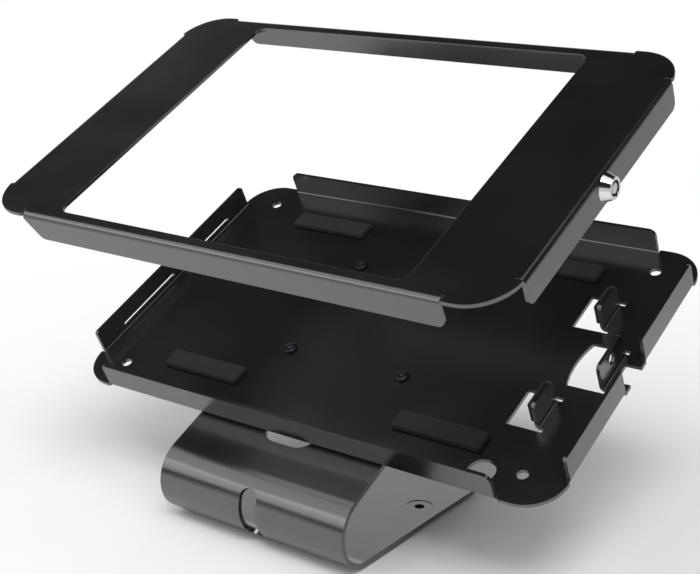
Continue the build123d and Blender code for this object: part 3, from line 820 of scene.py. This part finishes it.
for name, node, body, rounding, cell, copies in (
    ("front_tablet_strips", "front_floor_pads", "stand", 0.7, 0.5, 2),
    ("rear_tablet_strips", "rear_floor_pads", "stand", 0.7, 0.5, 2),
    ("front_tab_pad", "front_side_pad", "stand", 0.7, 0.35, 1),
    ("rear_tab_pad", "rear_side_pad", "stand", 0.7, 0.35, 1),
    ("left_window_strip", "left_cover_foam", "cover", 0.8, 0.7, 1),
    ("right_window_strip", "right_cover_foam", "cover", 0.8, 0.7, 1),
):
    low, high = span(node, TRAY_AXES, copies - 1)
    strip = new_piece(name, foam_mesh(name, high - low, rounding, cell), FOAM)
    middle = (low + high) / 2
    gap = 2 * middle.x * (copies - 1)
    middle.x *= 2 - copies
    place = TRAY_AXES @ middle * MM
    set_out(strip, GRID, place, (TRAY_TILT, 0, 0), grid_sizes(gap, 0, copies, 1))
    set_down(strip, body, "foam", node)

# Floor of the studio, in metres
FLOOR_REACH = 30.0
sides = ((-1, -1), (1, -1), (1, 1), (-1, 1))
floor_corners = [(x * FLOOR_REACH, y * FLOOR_REACH, 0) for x, y in sides]
floor_mesh = bpy.data.meshes.new("studio_floor")
floor_mesh.from_pydata(floor_corners, [], [(0, 1, 2, 3)])
new_piece("studio_floor", floor_mesh, pale_floor_paint())


def lamp(name, kind, place, **settings):
    """A lamp that shines from its place, in metres, towards the middle of the object."""
    light = bpy.data.lights.new(name, kind)
    for setting, value in settings.items():
        setattr(light, setting, value)
    holder = bpy.data.objects.new(name, light)
    holder.location = place
    holder.rotation_euler = (OBJECT_MIDDLE - Vector(place)).to_track_quat("-Z", "Y").to_euler()
    bpy.context.scene.collection.objects.link(holder)


OBJECT_MIDDLE = Vector((0.0, 0.0, 0.12))
softbox = {"shape": "RECTANGLE", "size": 1.7, "size_y": 1.5}
strip_light = {"shape": "RECTANGLE", "size": 1.8, "size_y": 0.72}
lamp("round_light_overhead", "SUN", (0.42, -0.08, 1.0), energy=0.45, angle=radians(44))
lamp("light_over_the_camera", "SUN", (0.25, -0.43, 0.99), energy=1.1, angle=radians(30))
lamp("large_softbox_over_front_left", "AREA", (-1.0, -0.85, 1.5), energy=9.0, **softbox)
lamp("strip_light_at_front_left", "AREA", (-1.05, -1.5, 0.76), energy=6.6, **strip_light)

# Studio: a plain level of light, and for mirrors a pale wall behind the object with open dark
# space above it and beside it. A way's share towards the wall is 1 straight at it, and its rise
# is 1 straight up.
WALL_WAY = (-0.24, 0.97, 0.0)
WALL_SIDE = (0.495, 0.56)
WALL_TOP = (0.48, 0.62)
DARK_FROM = 0.3
DARK = 0.02
HORIZON = 0.15
PLAIN_LEVEL = 0.42
world = bpy.data.worlds.new("studio")
bpy.context.scene.world = world
world.use_nodes = True
tree = world.node_tree
tree.nodes.clear()
way = add(tree, "ShaderNodeTexCoord").outputs["Generated"]
rise = add(tree, "ShaderNodeSeparateXYZ", {"Vector": way}).outputs["Z"]
behind = add(tree, "ShaderNodeVectorMath", {0: way, 1: WALL_WAY}, operation="DOT_PRODUCT")
wall_side = add(
    tree,
    "ShaderNodeMapRange",
    {"Value": behind.outputs["Value"], "From Min": WALL_SIDE[0], "From Max": WALL_SIDE[1]},
)
wall_top = add(
    tree,
    "ShaderNodeMapRange",
    {
        "Value": rise,
        "From Min": WALL_TOP[0],
        "From Max": WALL_TOP[1],
        "To Min": 1.0,
        "To Max": 0.0,
    },
)
wall = add(tree, "ShaderNodeMath", {0: wall_side, 1: wall_top}, operation="MULTIPLY")
open_space = add(
    tree,
    "ShaderNodeMapRange",
    {"Value": rise, "From Min": 0.0, "From Max": DARK_FROM, "To Min": HORIZON, "To Max": DARK},
)
mirrored = add(tree, "ShaderNodeMath", {0: wall, 1: open_space}, operation="MAXIMUM")
plain_light = add(tree, "ShaderNodeBackground", {"Strength": PLAIN_LEVEL})
mirrored_studio = add(tree, "ShaderNodeBackground", {"Strength": mirrored})
seen_studio = add(tree, "ShaderNodeBackground", {"Strength": 1.0})
for studio in (plain_light, mirrored_studio, seen_studio):
    studio.inputs["Color"].default_value = colour("#ffffff")
path = add(tree, "ShaderNodeLightPath").outputs
clear_or_shiny = add(
    tree,
    "ShaderNodeMath",
    {0: path["Is Glossy Ray"], 1: path["Is Transmission Ray"]},
    operation="MAXIMUM",
)
lit = add(tree, "ShaderNodeMixShader", {0: clear_or_shiny, 1: plain_light, 2: mirrored_studio})
shown = add(tree, "ShaderNodeMixShader", {0: path["Is Camera Ray"], 1: lit, 2: seen_studio})
add(tree, "ShaderNodeOutputWorld", {"Surface": shown})

# Camera where the photograph was taken from, its picture a little wider so that the whole
# cover is in it
CAMERA_PLACE = Vector((416.601, -568.206, 329.91)) * MM
CAMERA_LOOK = Vector((-0.566498, 0.772803, -0.286103))
CAMERA_ROLL = radians(0.151)
LENS = 70.58
SENSOR_WIDTH = 36.0
camera_data = bpy.data.cameras.new("camera")
camera_data.sensor_width = SENSOR_WIDTH
camera_data.sensor_fit = "HORIZONTAL"
camera_data.lens = LENS
camera = bpy.data.objects.new("camera", camera_data)
aimed = CAMERA_LOOK.to_track_quat("-Z", "Y").to_matrix().to_4x4()
rolled = Matrix.Rotation(CAMERA_ROLL, 4, "Z")
camera.matrix_world = Matrix.Translation(CAMERA_PLACE) @ aimed @ rolled
bpy.context.scene.collection.objects.link(camera)
bpy.context.scene.camera = camera
bpy.context.scene.view_settings.view_transform = "Standard"
